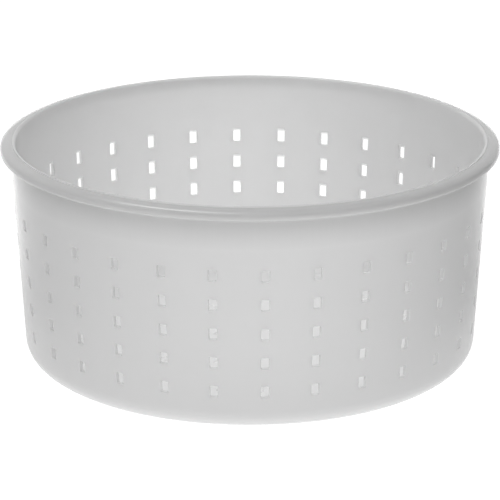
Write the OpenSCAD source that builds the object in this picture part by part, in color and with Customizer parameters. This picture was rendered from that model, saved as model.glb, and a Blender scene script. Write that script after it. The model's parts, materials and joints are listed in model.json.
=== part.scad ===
// Round cheese mould: a drafted basket made as one injection moulding, pierced in rows and rings
// so that whey runs out, with a solid bead round the rim. The standing face lies at z = 0.

/* [Body] */
// Outside diameter over the rim bead
rim_d = 200; // [198:0.5:210]
// Height of the lip above the standing face
body_h = 90; // [80:1:120]
// Inside diameter of the straight mouth, which a pressing disc enters
mouth_d = 187.4; // [184:0.2:189]
// Height of the straight mouth, below the rounded lip
mouth_h = 10; // [4:1:14]
// Draft of the wall, in degrees
draft = 3; // [1:0.5:5]
// Thickness of the wall below the mouth
wall_t = 1.8; // [1.4:0.1:2.2]
// Thickness of the base
base_t = 2; // [1.6:0.1:3]
// Outside radius between the wall and the base
corner_r = 8; // [6:0.5:11]
// Inside radius between the wall and the base
inner_corner_r = 6; // [4:0.5:8]

/* [Rim] */
// Width of the raised lip at the mouth
lip_w = 1.4; // [1.3:0.1:1.8]
// Radius that rounds the lip's inner edge
lip_round_r = 1.3; // [0.6:0.1:1.3]
// Step from the top of the lip down to the top of the bead
lip_step = 0.3; // [0.1:0.1:0.6]
// Distance from the top of the lip down to the widest point of the bead
bead_drop = 2.9; // [2.6:0.1:3.6]
// Radius of the bead's nose
nose_r = 1.8; // [1.2:0.1:1.9]
// Radius of the fillet between the bead and the wall
under_fillet_r = 1.2; // [0.4:0.1:1.6]

/* [Wall holes] */
// Number of columns round the wall
wall_columns = 30; // [12:2:36]
// Number of rows up the wall
wall_rows = 5; // [1:1:5]
// Height of the bottom row's sill
first_sill = 13.7; // [12:0.1:16]
// Distance from one row to the next
row_pitch = 11.7; // [8:0.1:12]
// Width of a hole
hole_w = 3.1; // [1:0.1:5]
// Height of a hole in the wall, and its length in the base
hole_h = 4.4; // [2:0.1:6]
// How much higher a wall hole reaches on the inside than on the outside
hole_rise = 1.6; // [0:0.1:2]

/* [Base] */
// Number of rings of holes; each has one more set of holes than the ring inside it
base_rings = 5; // [1:1:5]
// Distance from one ring to the next
ring_pitch = 14; // [10:0.5:14]
// Number of holes in the innermost ring
ring_set = 6; // [3:1:8]
// Depth of the hollow under the base, inside the standing ring
under_depth = 0.6; // [0.2:0.1:1]
// Diameter of that hollow
under_d = 152; // [146:1:158]
// Number of drain channels across the standing ring
channels = 6; // [3:1:12]
// Width of a drain channel
channel_w = 6; // [2:0.5:8]
// Diameter of the dimple round the moulding gate
gate_d = 9; // [5:0.5:10]
// Depth of that dimple
gate_depth = 0.5; // [0.2:0.1:0.8]
// Diameter of the trimmed gate stub in its middle
stub_d = 2.4; // [1:0.2:3]

/* [Hidden] */
$fn = 120;
// How far a cutter runs past the face that it opens
over = 1;
slope = tan(draft);
mouth_r = mouth_d / 2;
// Where the straight mouth meets the drafted wall
mouth_z = body_h - lip_round_r - mouth_h;
// The wall's outer face, carried down to z = 0
wall_r0 = mouth_r + wall_t / cos(draft) - mouth_z * slope;
base_z = under_depth + base_t;
// Lip and bead
lip_r = mouth_r + lip_w;
bead_top_z = body_h - lip_step;
nose_z = body_h - bead_drop;
nose_cr = rim_d / 2 - nose_r;
under_z = nose_z - nose_r;
// The arc over the bead starts level at the lip and runs on smoothly into the nose
dome_rise = bead_top_z - nose_z;
dome_reach = nose_cr - lip_r;
dome_r = (pow(dome_reach, 2) + pow(dome_rise, 2) - pow(nose_r, 2)) / (2 * (dome_rise - nose_r));
dome_angle = atan2(dome_reach, dome_r - dome_rise);
dome_cz = bead_top_z - dome_r;

// Radius of the wall's outer face at height z
function wall_r(z) = wall_r0 + z * slope;

// Radius at which a circle of radius r, centred at height z, touches the line that lies
// inset inside the wall's outer face
function touch_r(z, r, inset) = wall_r(z) - (inset + r) / cos(draft);

// The point on the wall's side of a circle, where it touches the drafted line
function touch_point(cr, cz, r) = [cr + r * cos(draft), cz - r * sin(draft)];

// Outer shape of the wall and base, from the axis out
module wall_outline() {
    corner_cr = touch_r(corner_r, corner_r, 0);
    polygon([
        [0, 0],
        [corner_cr, 0],
        touch_point(corner_cr, corner_r, corner_r),
        [wall_r(nose_z), nose_z],
        [lip_r, nose_z],
        [lip_r, body_h],
        [0, body_h]
    ]);
    translate([corner_cr, corner_r]) circle(corner_r);
}

// Section of the rim bead: a low dome that runs into a round nose
module bead_outline() {
    tangent = [lip_r + dome_r * sin(dome_angle), dome_cz + dome_r * cos(dome_angle)];
    intersection() {
        translate([lip_r, dome_cz]) circle(dome_r);
        polygon([
            [lip_r, under_z],
            [nose_cr, under_z],
            [nose_cr, nose_z],
            tangent,
            [tangent.x, body_h],
            [lip_r, body_h]
        ]);
    }
    translate([nose_cr, nose_z]) circle(nose_r);
}

// Fillet that carries the wall out into the underside of the bead
module under_fillet() {
    fillet_z = under_z - under_fillet_r;
    fillet_cr = wall_r(fillet_z) + under_fillet_r / cos(draft);
    difference() {
        polygon([
            [lip_r - lip_w, fillet_z],
            [fillet_cr - under_fillet_r * cos(draft), fillet_z + under_fillet_r * sin(draft)],
            [fillet_cr, fillet_z],
            [fillet_cr, nose_z],
            [lip_r - lip_w, nose_z]
        ]);
        translate([fillet_cr, fillet_z]) circle(under_fillet_r);
    }
}

// Hollow that holds the curd, with its straight mouth and rounded lip
module cavity_outline() {
    corner_z = base_z + inner_corner_r;
    corner_cr = touch_r(corner_z, inner_corner_r, wall_t);
    lip_round_z = body_h - lip_round_r;
    polygon([
        [0, base_z],
        [corner_cr, base_z],
        touch_point(corner_cr, corner_z, inner_corner_r),
        [mouth_r, mouth_z],
        [mouth_r, body_h + over],
        [0, body_h + over]
    ]);
    translate([corner_cr, corner_z]) circle(inner_corner_r);
    difference() {
        translate([mouth_r - over, lip_round_z]) square([lip_round_r + over, lip_round_r + over]);
        translate([mouth_r + lip_round_r, lip_round_z]) circle(lip_round_r);
    }
}

// Solid of revolution that all the holes are cut from
module basket() {
    rotate_extrude() {
        difference() {
            union() {
                wall_outline();
                bead_outline();
                under_fillet();
            }
            cavity_outline();
        }
    }
}

// One cutter per hole in the wall; a column lies on the -Y side. The ceiling slopes up towards the
// inside, where the curd and the moulding's core slide out past it.
module wall_holes() {
    for (column = [0:wall_columns - 1], row = [0:wall_rows - 1]) {
        sill = first_sill + row * row_pitch;
        ceiling = sill + hole_h;
        outside = wall_r(ceiling);
        depth = wall_t + 2 * over;
        rotate([90, 0, -90 + column * 360 / wall_columns])
            linear_extrude(hole_w, center = true)
                polygon([
                    [outside - depth, sill],
                    [outside + over, sill],
                    [outside + over, ceiling],
                    [outside, ceiling],
                    [outside - depth, ceiling + depth * hole_rise / wall_t]
                ]);
    }
}

// Rings of holes in the base, each hole pointing at the middle
module base_holes() {
    for (ring = [1:base_rings], hole = [0:ring * ring_set - 1]) {
        rotate([0, 0, -90 + hole * 360 / (ring * ring_set)])
            translate([ring * ring_pitch - hole_h / 2, -hole_w / 2, -over])
                cube([hole_h, hole_w, base_z + 2 * over]);
    }
}

// Hollow under the base and the channels that let whey run out of it
module underside() {
    translate([0, 0, -over]) cylinder(d = under_d, h = under_depth + over);
    for (channel = [0:channels - 1]) {
        rotate([0, 0, (channel + 0.5) * 360 / channels])
            translate([under_d / 2 - channel_w, -channel_w / 2, -over])
                cube([wall_r0, channel_w, under_depth + over]);
    }
}

// Dimple round the moulding gate, with the trimmed stub standing in it
module gate_mark() {
    translate([0, 0, under_depth - over]) {
        difference() {
            cylinder(d = gate_d, h = gate_depth + over);
            translate([0, 0, over]) cylinder(d = stub_d, h = gate_depth + over);
        }
    }
}

module mould_body() {
    color([0.86, 0.86, 0.85]) {
        difference() {
            basket();
            wall_holes();
            base_holes();
            underside();
            gate_mark();
        }
    }
}

mould_body();
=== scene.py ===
"""Looks of the round cheese mould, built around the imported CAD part."""

import json
import math

import bmesh
import bpy
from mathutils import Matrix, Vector
from mathutils.geometry import delaunay_2d_cdt


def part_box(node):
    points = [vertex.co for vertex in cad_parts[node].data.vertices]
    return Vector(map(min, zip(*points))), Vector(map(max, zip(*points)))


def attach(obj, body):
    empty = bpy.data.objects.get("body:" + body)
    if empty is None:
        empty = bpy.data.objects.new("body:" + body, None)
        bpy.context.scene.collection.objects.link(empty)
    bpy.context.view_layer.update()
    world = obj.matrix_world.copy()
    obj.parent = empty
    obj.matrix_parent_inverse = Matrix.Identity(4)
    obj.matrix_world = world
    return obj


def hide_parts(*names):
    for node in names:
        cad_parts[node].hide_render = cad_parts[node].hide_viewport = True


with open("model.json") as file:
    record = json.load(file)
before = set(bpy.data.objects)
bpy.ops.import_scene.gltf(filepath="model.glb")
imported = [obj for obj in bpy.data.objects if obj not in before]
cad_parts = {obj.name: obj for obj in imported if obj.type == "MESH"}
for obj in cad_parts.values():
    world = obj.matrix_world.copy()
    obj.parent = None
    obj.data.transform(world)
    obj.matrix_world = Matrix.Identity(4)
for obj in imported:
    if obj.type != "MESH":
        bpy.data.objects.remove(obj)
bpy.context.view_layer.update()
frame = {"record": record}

MM = 0.001

# The CAD part's box and its stated mouth settle the size of the piece built here
node_low, node_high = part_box("mould_body")
mounts = {m["name"]: m for m in frame["record"]["mounts"]}
rim_r = min(node_high.x, -node_low.x, node_high.y, -node_low.y) / MM
body_h = (node_high.z - node_low.z) / MM
mouth_r = mounts["mouth"]["dims"]["r_mm"]
mouth_top = mounts["mouth"]["pos_m"][2] / MM + mounts["mouth"]["dims"]["length_mm"] / 2
mouth_z = mouth_top - mounts["mouth"]["dims"]["length_mm"]

# Driving sizes of the moulding, in millimetres and degrees
DRAFT = math.radians(3)
WALL_T = 1.8
BASE_T = 2.0
CORNER_R = 8.0
INNER_CORNER_R = 6.0
LIP_W = 1.4
LIP_STEP = 0.3
BEAD_DROP = 2.9
NOSE_R = 1.8
FILLET_R = 1.2
COLUMNS = 30
ROWS = 5
FIRST_SILL = 13.7
ROW_PITCH = 11.7
HOLE_W = 3.1
HOLE_H = 4.4
HOLE_RISE = 1.6
RINGS = 5
RING_PITCH = 14.0
RING_SET = 6
UNDER_DEPTH = 0.6
UNDER_R = 76.0
CHANNELS = 6
CHANNEL_W = 6.0
GATE_R = 4.5
GATE_DEPTH = 0.5
STUB_R = 1.2

# How the mesh is divided, and the small roundings that the mould's steel leaves
EDGE_R = 0.25
HOLE_CORNER_R = 0.35
COLUMN_STEPS = 8
ROUND_STEPS = COLUMNS * COLUMN_STEPS
PLATE_R = 74.4
# Distance from a hole's edge out to the two loops of edges that run round it
FAR_LOOP = 1.3
NEAR_LOOP = 0.6
# Height or width of the softened edges of the standing ring and the gate's mark
SOFT_EDGE = 0.12
# Heights of the edge loops above the holes, up the outside and down the mouth
BAND_HEIGHTS = (72.4, 76.2, 80.0, 82.4, 83.6)
MOUTH_HEIGHTS = (87.4, 85.2, 82.6, 80.4, 79.2)
# Radii of the edge loops across the standing ring
STANDING_RADII = (82.2, 79.8, 77.6, 76.6)
# Points closer than this, in metres, become one
WELD = 2e-6

# The plastic: how much light comes back from its clouded wall, the lighter grey painted on the base
# and the inside of the foot as painted light, the share of the wall's grey left on the bead as
# painted shade, and how far light travels in it, in metres
WALL_TINTS = (0.87, 0.89)
FOOT_PAINTED_LIGHT = 0.99
BEAD_PAINTED_SHADE = 0.76
SCATTER_LENGTH = 0.005

# Light by side, as a direction and a strength: from the floor, from under the object and from
# the dome
FLOOR_SIDES = (((0, 1, 0), 2.05), ((0, -1, 0), 1.1), ((-1, 0, 0), 0.54), ((1, 0, 0), 0.38))
UNDER_STRENGTH = 0.85
DOME_SIDES = (((0, 1, 0.1), 0.8), ((0, -1, 0.9), 0.36), ((-1, 0, 0.1), 0.33), ((0, 0, 1), 0.75))
DOME_SPREAD = 0.5
BACKDROP_STRENGTH = 1.1

slope = math.tan(DRAFT)
lip_round_r = body_h - mouth_top
wall_r0 = mouth_r + WALL_T / math.cos(DRAFT) - mouth_z * slope
base_z = UNDER_DEPTH + BASE_T
lip_r = mouth_r + LIP_W
nose_z = body_h - BEAD_DROP
nose_cr = rim_r - NOSE_R
under_z = nose_z - NOSE_R
channel_start_r = UNDER_R - 0.6
cell_low = FIRST_SILL + HOLE_H / 2 - ROW_PITCH / 2
cell_high = cell_low + ROWS * ROW_PITCH


def outer_r(z):
    """Radius of the wall's outer face at height z."""
    return wall_r0 + z * slope


def inner_r(z):
    """Radius of the wall's inner face at height z."""
    return outer_r(z) - WALL_T / math.cos(DRAFT)


# Points and faces of the one moulding, in millimetres
points = []
faces = []


def put(r, angle, z):
    """Adds a point from its radius, angle from -Y in radians, and height."""
    points.append((r * math.sin(angle), -r * math.cos(angle), z))
    return len(points) - 1


def bridge(first, second):
    """Joins two closed loops of the same length with quads."""
    count = len(first)
    for i in range(count):
        j = (i + 1) % count
        faces.append((first[i], first[j], second[j], second[i]))


def slot_loop(half_w, half_h, corner, steps_w, steps_h):
    """A rectangle with rounded corners, as points (across, up). It starts at the middle of a corner,
    and each side has the same number of steps as the cell's side that it faces."""
    loop = []
    for side, steps in enumerate((steps_w, steps_h, steps_w, steps_h)):
        a, b = (half_w, half_h) if side % 2 == 0 else (half_h, half_w)
        diagonal = corner * (1 - math.sqrt(0.5))
        line = [(-a + diagonal, -b + diagonal), (-a + corner, -b)]
        straight = steps - 2
        for i in range(1, straight):
            line.append((-a + corner + 2 * (a - corner) * i / straight, -b))
        line.append((a - corner, -b))
        for u, v in line:
            for _ in range(side):
                u, v = -v, u
            loop.append((u, v))
    return loop


def arc(centre_r, centre_z, radius, start, end, steps):
    """Points (r, z) along an arc, with its angles in degrees from the outward direction."""
    found = []
    for i in range(steps + 1):
        a = math.radians(start + (end - start) * i / steps)
        found.append((centre_r + radius * math.cos(a), centre_z + radius * math.sin(a)))
    return found


def wall_cell(middle, low):
    """One hole and the piece of wall round it, on both faces. middle is the hole's angle."""
    half = math.pi / COLUMNS
    steps_h = 4
    centre_z = low + ROW_PITCH / 2

    def ring(offset, depth, surface):
        """Loop round the hole, offset into the wall's face or deep into the hole. The ceiling slopes
        up from the outer face to the inner one."""
        lift = HOLE_RISE * (depth if surface == "outer" else WALL_T - depth) / WALL_T
        shape = slot_loop(
            HOLE_W / 2 + offset,
            (HOLE_H + lift) / 2 + offset,
            HOLE_CORNER_R + offset,
            COLUMN_STEPS,
            steps_h,
        )
        made = []
        for across, up in shape:
            z = centre_z + lift / 2 + up
            r = outer_r(z) - depth if surface == "outer" else inner_r(z) + depth
            made.append((math.asin(across / r), z, r))
        return made

    def border():
        """The cell's edge, where it meets its neighbours."""
        edge = []
        for i in range(COLUMN_STEPS):
            edge.append((-half + 2 * half * i / COLUMN_STEPS, low))
        for i in range(steps_h):
            edge.append((half, low + ROW_PITCH * i / steps_h))
        for i in range(COLUMN_STEPS):
            edge.append((half - 2 * half * i / COLUMN_STEPS, low + ROW_PITCH))
        for i in range(steps_h):
            edge.append((-half, low + ROW_PITCH - ROW_PITCH * i / steps_h))
        return edge

    loops = []
    for surface in ("outer", "inner"):
        radius = outer_r if surface == "outer" else inner_r
        edge = [(a, z, radius(z)) for a, z in border()]
        near = ring(FAR_LOOP, 0, surface)
        between = []
        for (a0, z0, _), (a1, z1, _) in zip(edge, near):
            z = (z0 + z1) / 2
            between.append(((a0 + a1) / 2, z, radius(z)))
        side = [edge, between, near, ring(NEAR_LOOP, 0, surface)]
        for turn in (0, 30, 60, 90):
            a = math.radians(turn)
            side.append(ring(EDGE_R * (1 - math.sin(a)), EDGE_R * (1 - math.cos(a)), surface))
        loops.append(side)
    for loop in loops[0] + loops[1][::-1]:
        loop_points = [put(r, middle + a, z) for a, z, r in loop]
        if loop is not loops[0][0]:
            bridge(previous, loop_points)
        previous = loop_points


def channel_place(step, r, z):
    """Angle and height of a point on the underside, where six channels cross the standing ring."""
    angle = 2 * math.pi * step / ROUND_STEPS
    period = ROUND_STEPS // CHANNELS
    offset = (step + period // 2) % period - period // 2
    fade_z = 4.0
    ramp = 0.5
    if abs(offset) > 2 or r < channel_start_r or z > fade_z:
        return angle, z
    share = min(1.0, (fade_z - z) / (fade_z - UNDER_DEPTH))
    share = share * min(1.0, (r - channel_start_r) / ramp)
    across = (0, CHANNEL_W / 2 - 0.12, CHANNEL_W / 2 + 0.08)[abs(offset)]
    snapped = math.copysign(math.asin(across / r), offset) if offset else 0.0
    middle = angle - 2 * math.pi * offset / ROUND_STEPS
    turned = middle + share * snapped + (1 - share) * (angle - middle)
    if abs(offset) < 2:
        z = max(z, UNDER_DEPTH)
    return turned, z


def revolve(profile, place=None):
    """Turns a line of points (r, z) round the axis, and gives back its first and last loops."""
    loops = []
    for r, z in profile:
        loop = []
        for step in range(ROUND_STEPS):
            angle, height = 2 * math.pi * step / ROUND_STEPS, z
            if place:
                angle, height = place(step, r, z)
            loop.append(put(r, angle, height))
        if loops:
            bridge(loops[-1], loop)
        loops.append(loop)
    return loops[0], loops[-1]


# Wall with its holes
for column in range(COLUMNS):
    for row in range(ROWS):
        wall_cell(2 * math.pi * column / COLUMNS, cell_low + row * ROW_PITCH)

# Rim: from the last row of holes up the outside, over the bead and lip, and down the inside
dome_rise = body_h - LIP_STEP - nose_z
dome_reach = nose_cr - lip_r
dome_r = (dome_reach**2 + dome_rise**2 - NOSE_R**2) / (2 * (dome_rise - NOSE_R))
dome_turn = math.degrees(math.atan2(dome_reach, dome_r - dome_rise))
dome_cz = body_h - LIP_STEP - dome_r
fillet_z = under_z - FILLET_R
fillet_cr = outer_r(fillet_z) + FILLET_R / math.cos(DRAFT)
draft_deg = math.degrees(DRAFT)
rim = [(outer_r(z), z) for z in (cell_high,) + BAND_HEIGHTS]
rim += arc(fillet_cr, fillet_z, FILLET_R, 180 - draft_deg, 90, 6)
rim.append(((fillet_cr + nose_cr) / 2, under_z))
rim += arc(nose_cr, nose_z, NOSE_R, -90, 90 - dome_turn, 14)
rim += arc(lip_r, dome_cz, dome_r, 90 - dome_turn, 90.6, 6)[1:]
rim += [(lip_r + 0.03, body_h - LIP_STEP + 0.04), (lip_r, body_h - LIP_STEP + 0.09)]
rim += arc(lip_r - 0.08, body_h - 0.08, 0.08, 0, 90, 3)
rim += arc(mouth_r + lip_round_r, mouth_top, lip_round_r, 90, 180, 9)[1:]
rim += [(mouth_r, z) for z in MOUTH_HEIGHTS]
rim += [(inner_r(z), z) for z in (mouth_z - 0.5, BAND_HEIGHTS[1], BAND_HEIGHTS[0], cell_high)]
revolve(rim)

# Foot: from the first row of holes down the outside and under to the base
corner_cr = outer_r(CORNER_R) - CORNER_R / math.cos(DRAFT)
foot = [(outer_r(z), z) for z in (cell_low, 8.9)]
foot += arc(corner_cr, CORNER_R, CORNER_R, -draft_deg, -90, 16)
foot += [(r, 0.0) for r in STANDING_RADII]
foot += [(UNDER_R + 0.2, 0.0), (UNDER_R + 0.09, 0.04), (UNDER_R + 0.03, SOFT_EDGE)]
foot += [(UNDER_R + 0.01, UNDER_DEPTH - SOFT_EDGE), (UNDER_R - 0.04, UNDER_DEPTH - 0.03)]
foot += [(UNDER_R - 0.15, UNDER_DEPTH), (channel_start_r, UNDER_DEPTH), (PLATE_R, UNDER_DEPTH)]
_, plate_under = revolve(foot, channel_place)

# Inside corner, from the first row of holes down to the floor of the mould
inner_corner_z = base_z + INNER_CORNER_R
inner_corner_cr = outer_r(inner_corner_z) - (WALL_T + INNER_CORNER_R) / math.cos(DRAFT)
bend = [(inner_r(cell_low), cell_low), (inner_r(9.2), 9.2)]
bend += arc(inner_corner_cr, inner_corner_z, INNER_CORNER_R, -draft_deg, -90, 14)
bend += [(81.0, base_z), (77.7, base_z), (PLATE_R, base_z)]
_, plate_top = revolve(bend)


def plate_hole(ring, hole):
    """One hole through the base, as its loops round the top and under faces."""
    middle = 2 * math.pi * hole / (ring * RING_SET)

    def loop(offset, z):
        """Level loop round the hole, its edge moved out by offset."""
        made = []
        shape = slot_loop(HOLE_W / 2 + offset, HOLE_H / 2 + offset, HOLE_CORNER_R + offset, 4, 4)
        for across, along in shape:
            r = ring * RING_PITCH + along
            made.append(put(math.hypot(r, across), middle + math.atan2(across, r), z))
        return made

    heights = []
    for turn in (0, 30, 60, 90):
        a = math.radians(turn)
        heights.append((EDGE_R * (1 - math.sin(a)), EDGE_R * (1 - math.cos(a))))
    stack = [loop(NEAR_LOOP, base_z)]
    stack += [loop(offset, base_z - depth) for offset, depth in heights]
    stack += [loop(offset, UNDER_DEPTH + depth) for offset, depth in heights[::-1]]
    stack.append(loop(NEAR_LOOP, UNDER_DEPTH))
    for above, below in zip(stack, stack[1:]):
        bridge(above, below)
    return stack[0], stack[-1]


def circle(r, z, steps):
    """A level loop of points round the axis."""
    return [put(r, 2 * math.pi * i / steps, z) for i in range(steps)]


def fill_plate(outline, holes, loose):
    """Flat triangles between the outline and the holes."""
    index = []
    owner = []
    edges = []
    for number, loop in enumerate([outline] + holes):
        start = len(index)
        for i in range(len(loop)):
            edges.append((start + i, start + (i + 1) % len(loop)))
        index += loop
        owner += [number] * len(loop)
    index += loose
    owner += [0] * len(loose)
    flat = [Vector(points[i][:2]) for i in index]
    _, _, triangles, sources, _, _ = delaunay_2d_cdt(flat, edges, [], 0, 1e-7)
    for triangle in triangles:
        corners = [sources[i][0] for i in triangle]
        owners = {owner[i] for i in corners}
        if len(owners) == 1 and owners != {0}:
            continue
        faces.append(tuple(index[i] for i in corners))


# Base plate with its rings of holes, and the gate's mark in the middle of its underside
top_loops = []
under_loops = []
top_loose = [put(0, 0, base_z)]
under_loose = []
for ring in range(1, RINGS + 1):
    for hole in range(ring * RING_SET):
        above, below = plate_hole(ring, hole)
        top_loops.append(above)
        under_loops.append(below)
    halfway = (ring - 0.5) * RING_PITCH
    top_loose += circle(halfway, base_z, 12 * ring)
    if ring > 1:
        under_loose += circle(halfway, UNDER_DEPTH, 12 * ring)
gate_top = UNDER_DEPTH + GATE_DEPTH
gate = [(GATE_R + 0.5, UNDER_DEPTH), (GATE_R + SOFT_EDGE, UNDER_DEPTH)]
gate += [(GATE_R, UNDER_DEPTH + SOFT_EDGE), (GATE_R - 0.03, gate_top - SOFT_EDGE)]
gate += [(GATE_R - 0.15, gate_top), (STUB_R + 0.15, gate_top), (STUB_R, gate_top - SOFT_EDGE)]
gate += [(STUB_R - 0.02, UNDER_DEPTH + 0.1), (STUB_R - SOFT_EDGE, UNDER_DEPTH + 0.02)]
gate += [(0.5, UNDER_DEPTH + 0.02)]
gate_loops = [circle(r, z, 36) for r, z in gate]
for outside, inside in zip(gate_loops, gate_loops[1:]):
    bridge(outside, inside)
faces.append(tuple(gate_loops[-1]))
under_loops.append(gate_loops[0])
fill_plate(plate_top, top_loops, top_loose)
fill_plate(plate_under, under_loops, under_loose)

mesh = bpy.data.meshes.new("mould_skin")
mesh.from_pydata([(x * MM, y * MM, z * MM) for x, y, z in points], [], faces)
built = bmesh.new()
built.from_mesh(mesh)
bmesh.ops.remove_doubles(built, verts=built.verts, dist=WELD)
bmesh.ops.recalc_face_normals(built, faces=built.faces)
for face in built.faces:
    face.smooth = True
open_edges = [e for e in built.edges if not e.is_manifold]
if open_edges:
    raise ValueError(f"the moulding's mesh has {len(open_edges)} open edges")
built.to_mesh(mesh)
built.free()
skin = bpy.data.objects.new("mould_skin", mesh)
bpy.context.scene.collection.objects.link(skin)
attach(skin, "root")
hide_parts("mould_body")


def node(tree, kind, **settings):
    """Adds a shader node and sets its properties."""
    made = tree.nodes.new(kind)
    for name, value in settings.items():
        setattr(made, name, value)
    return made


def noise(tree, coordinates, scale, detail, roughness):
    """Procedural noise over the object, from 0 to 1."""
    made = node(tree, "ShaderNodeTexNoise")
    made.inputs["Scale"].default_value = scale
    made.inputs["Detail"].default_value = detail
    made.inputs["Roughness"].default_value = roughness
    tree.links.new(coordinates, made.inputs["Vector"])
    return made.outputs["Fac"]


def remap(tree, value, low, high, new_low, new_high):
    """Turns the range low to high into new_low to new_high, held at its ends."""
    made = node(tree, "ShaderNodeMapRange")
    tree.links.new(value, made.inputs["Value"])
    made.inputs["From Min"].default_value = low
    made.inputs["From Max"].default_value = high
    made.inputs["To Min"].default_value = new_low
    made.inputs["To Max"].default_value = new_high
    return made.outputs["Result"]


def grey(level):
    return (level, level, level, 1)


def polypropylene():
    """Translucent white polypropylene, with faint clouding and a fine satin grain. The bead is
    darkened as painted shade, for the light its thickness holds back, and the base and the inside of
    the foot are paled as painted light."""
    material = bpy.data.materials.new("natural_polypropylene")
    material.use_nodes = True
    tree = material.node_tree
    shader = tree.nodes["Principled BSDF"]
    place = node(tree, "ShaderNodeTexCoord").outputs["Object"]

    cloud = noise(tree, place, 26.0, 3.0, 0.55)
    tint = node(tree, "ShaderNodeMix", data_type="RGBA")
    tree.links.new(remap(tree, cloud, 0.3, 0.7, 0.0, 1.0), tint.inputs["Factor"])
    tint.inputs["A"].default_value = grey(WALL_TINTS[0])
    tint.inputs["B"].default_value = grey(WALL_TINTS[1])

    level = node(tree, "ShaderNodeVectorMath", operation="MULTIPLY")
    tree.links.new(place, level.inputs[0])
    level.inputs[1].default_value = (1, 1, 0)
    reach = node(tree, "ShaderNodeVectorMath", operation="LENGTH")
    tree.links.new(level.outputs["Vector"], reach.inputs[0])
    height = node(tree, "ShaderNodeSeparateXYZ")
    tree.links.new(place, height.inputs["Vector"])
    # Radius less the draft, so that one value parts the wall's inner face from its outer face
    cone = node(tree, "ShaderNodeMath", operation="MULTIPLY_ADD")
    tree.links.new(height.outputs["Z"], cone.inputs[0])
    cone.inputs[1].default_value = -slope
    tree.links.new(reach.outputs["Value"], cone.inputs[2])
    # Painted light: on the inner faces below 10 to 22 mm, the base and the inside of the foot, the
    # grey is paled, standing in for light that reaches the mould's floor and corner
    inner = remap(tree, cone.outputs["Value"], (wall_r0 - 1.4) * MM, (wall_r0 - 0.4) * MM, 1.0, 0.0)
    foot = node(tree, "ShaderNodeMath", operation="MULTIPLY")
    tree.links.new(inner, foot.inputs[0])
    tree.links.new(remap(tree, height.outputs["Z"], 0.01, 0.022, 1.0, 0.0), foot.inputs[1])
    base = node(tree, "ShaderNodeMix", data_type="RGBA")
    tree.links.new(foot.outputs["Value"], base.inputs["Factor"])
    tree.links.new(tint.outputs["Result"], base.inputs["A"])
    base.inputs["B"].default_value = grey(FOOT_PAINTED_LIGHT)

    # Painted shade: outside the lip the bead's grey is darkened to a share of the wall's, standing
    # in for the light its thickness holds back
    bead = remap(tree, reach.outputs["Value"], (lip_r + 0.1) * MM, (lip_r + 0.6) * MM, 0.0, 1.0)
    shaded_bead = node(tree, "ShaderNodeMix", data_type="RGBA", blend_type="MULTIPLY")
    tree.links.new(bead, shaded_bead.inputs["Factor"])
    tree.links.new(base.outputs["Result"], shaded_bead.inputs["A"])
    shaded_bead.inputs["B"].default_value = grey(BEAD_PAINTED_SHADE)
    tree.links.new(shaded_bead.outputs["Result"], shader.inputs["Base Color"])

    grain = noise(tree, place, 2600.0, 2.0, 0.5)
    swirl = noise(tree, place, 90.0, 2.0, 0.5)
    tree.links.new(remap(tree, swirl, 0.3, 0.7, 0.2, 0.24), shader.inputs["Roughness"])

    fine = node(tree, "ShaderNodeBump")
    fine.inputs["Strength"].default_value = 0.06
    fine.inputs["Distance"].default_value = 0.00005
    tree.links.new(grain, fine.inputs["Height"])
    tree.links.new(fine.outputs["Normal"], shader.inputs["Normal"])

    shader.inputs["IOR"].default_value = 1.49
    shader.inputs["Specular IOR Level"].default_value = 0.5
    shader.inputs["Subsurface Weight"].default_value = 1.0
    shader.inputs["Subsurface Radius"].default_value = (1.0, 1.0, 1.0)
    shader.inputs["Subsurface Scale"].default_value = SCATTER_LENGTH
    return material


skin.data.materials.append(polypropylene())


def lobe(tree, direction, toward, low, strength, fade="SMOOTHSTEP"):
    """Light that comes softly from one side: full towards it, fading to nothing at low, a cosine."""
    aim = node(tree, "ShaderNodeVectorMath", operation="DOT_PRODUCT")
    tree.links.new(direction, aim.inputs[0])
    aim.inputs[1].default_value = Vector(toward).normalized()
    shape = node(tree, "ShaderNodeMapRange", interpolation_type=fade)
    tree.links.new(aim.outputs["Value"], shape.inputs["Value"])
    shape.inputs["From Min"].default_value = low
    shape.inputs["From Max"].default_value = 1.0
    shape.inputs["To Max"].default_value = strength
    return shape.outputs["Result"]


def total(tree, values):
    """Adds up a list of node outputs."""
    level = values[0]
    for value in values[1:]:
        added = node(tree, "ShaderNodeMath", operation="ADD")
        tree.links.new(level, added.inputs[0])
        tree.links.new(value, added.inputs[1])
        level = added.outputs["Value"]
    return level


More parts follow.
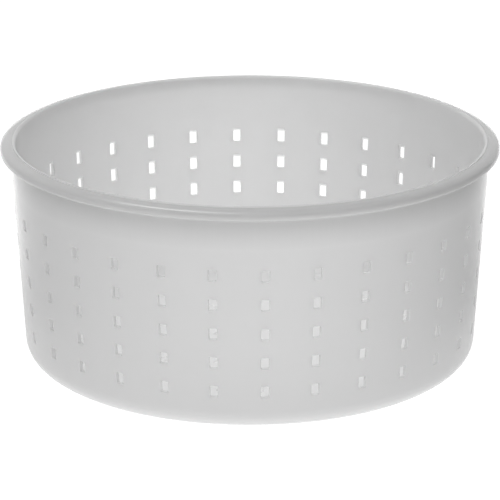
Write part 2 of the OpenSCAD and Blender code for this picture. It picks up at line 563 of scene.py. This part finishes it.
def studio_floor():
    """A pale floor lit from within, brightest behind the object. The camera sees the white backdrop
    in its place, so the floor never hides the underside in a view from below."""
    built = bmesh.new()
    side = 6.0
    corners = [(-side, -side), (side, -side), (side, side), (-side, side)]
    built.faces.new([built.verts.new((x, y, -0.0002)) for x, y in corners])
    mesh = bpy.data.meshes.new("studio_floor")
    built.to_mesh(mesh)
    built.free()
    floor = bpy.data.objects.new("studio_floor", mesh)
    bpy.context.scene.collection.objects.link(floor)
    floor.visible_camera = False
    material = bpy.data.materials.new("white_floor")
    material.use_nodes = True
    tree = material.node_tree
    shader = tree.nodes["Principled BSDF"]
    shader.inputs["Base Color"].default_value = grey(0.0)
    shader.inputs["Roughness"].default_value = 0.9
    shader.inputs["Specular IOR Level"].default_value = 0.0
    shader.inputs["Emission Color"].default_value = grey(1.0)
    place = node(tree, "ShaderNodeTexCoord").outputs["Object"]
    bearing = node(tree, "ShaderNodeVectorMath", operation="NORMALIZE")
    tree.links.new(place, bearing.inputs[0])
    parts = []
    for toward, amount in FLOOR_SIDES:
        facing = lobe(tree, bearing.outputs["Vector"], toward, 0.0, 1.0, "LINEAR")
        squared = node(tree, "ShaderNodeMath", operation="POWER")
        tree.links.new(facing, squared.inputs[0])
        squared.inputs[1].default_value = 2.0
        part = node(tree, "ShaderNodeMath", operation="MULTIPLY")
        tree.links.new(squared.outputs["Value"], part.inputs[0])
        part.inputs[1].default_value = amount
        parts.append(part.outputs["Value"])
    reach = node(tree, "ShaderNodeVectorMath", operation="LENGTH")
    tree.links.new(place, reach.inputs[0])
    outside = remap(tree, reach.outputs["Value"], 0.1, 0.16, 0.0, 1.0)
    strength = node(tree, "ShaderNodeMix", data_type="FLOAT")
    tree.links.new(outside, strength.inputs["Factor"])
    strength.inputs["A"].default_value = UNDER_STRENGTH
    tree.links.new(total(tree, parts), strength.inputs["B"])
    tree.links.new(strength.outputs["Result"], shader.inputs["Emission Strength"])
    mesh.materials.append(material)


def studio_dome():
    """Soft light from all round, in front of a white backdrop."""
    world = bpy.data.worlds.new("studio_dome")
    bpy.context.scene.world = world
    world.use_nodes = True
    tree = world.node_tree
    output = tree.nodes["World Output"]
    light = tree.nodes["Background"]
    direction = node(tree, "ShaderNodeTexCoord").outputs["Generated"]
    parts = [lobe(tree, direction, toward, DOME_SPREAD, amount) for toward, amount in DOME_SIDES]
    tree.links.new(total(tree, parts), light.inputs["Strength"])
    backdrop = node(tree, "ShaderNodeBackground")
    backdrop.inputs["Strength"].default_value = BACKDROP_STRENGTH
    seen = node(tree, "ShaderNodeMixShader")
    tree.links.new(node(tree, "ShaderNodeLightPath").outputs["Is Camera Ray"], seen.inputs["Fac"])
    tree.links.new(light.outputs["Background"], seen.inputs[1])
    tree.links.new(backdrop.outputs["Background"], seen.inputs[2])
    tree.links.new(seen.outputs["Shader"], output.inputs["Surface"])
    light.inputs["Color"].default_value = grey(1.0)
    backdrop.inputs["Color"].default_value = grey(1.0)


def small_lamp():
    """The one small soft lamp overhead, which gives the rim its highlight."""
    lamp = bpy.data.lights.new("overhead_lamp", "AREA")
    lamp.shape = "RECTANGLE"
    lamp.size = 0.12
    lamp.size_y = 0.7
    lamp.energy = 3.3
    holder = bpy.data.objects.new("overhead_lamp", lamp)
    toward = Vector((-0.2, 0.22, 0.95)).normalized()
    holder.location = toward * 1.5
    holder.rotation_euler = toward.to_track_quat("Z", "Y").to_euler()
    bpy.context.scene.collection.objects.link(holder)


def camera():
    """A long lens, a little above the rim and just to the left of the -Y side."""
    azimuth = math.radians(-3.536)
    elevation = math.radians(18.436)
    distance = 0.99626
    level = distance * math.cos(elevation)
    aim = Vector((0, 0, body_h * MM / 2))
    rise = distance * math.sin(elevation)
    data = bpy.data.cameras.new("camera")
    data.sensor_width = 36.0
    data.lens = 176.208
    data.shift_x = 0.00027
    data.shift_y = -0.01733
    data.clip_start = 0.05
    data.clip_end = 40.0
    made = bpy.data.objects.new("camera", data)
    made.location = aim + Vector((level * math.sin(azimuth), -level * math.cos(azimuth), rise))
    made.rotation_euler = (aim - made.location).to_track_quat("-Z", "Y").to_euler()
    bpy.context.scene.collection.objects.link(made)
    bpy.context.scene.camera = made


studio_floor()
studio_dome()
small_lamp()
camera()
bpy.context.scene.view_settings.view_transform = "Standard"
bpy.context.scene.view_settings.look = "None"
bpy.context.scene.view_settings.exposure = 0.0
bpy.context.scene.view_settings.gamma = 1.0
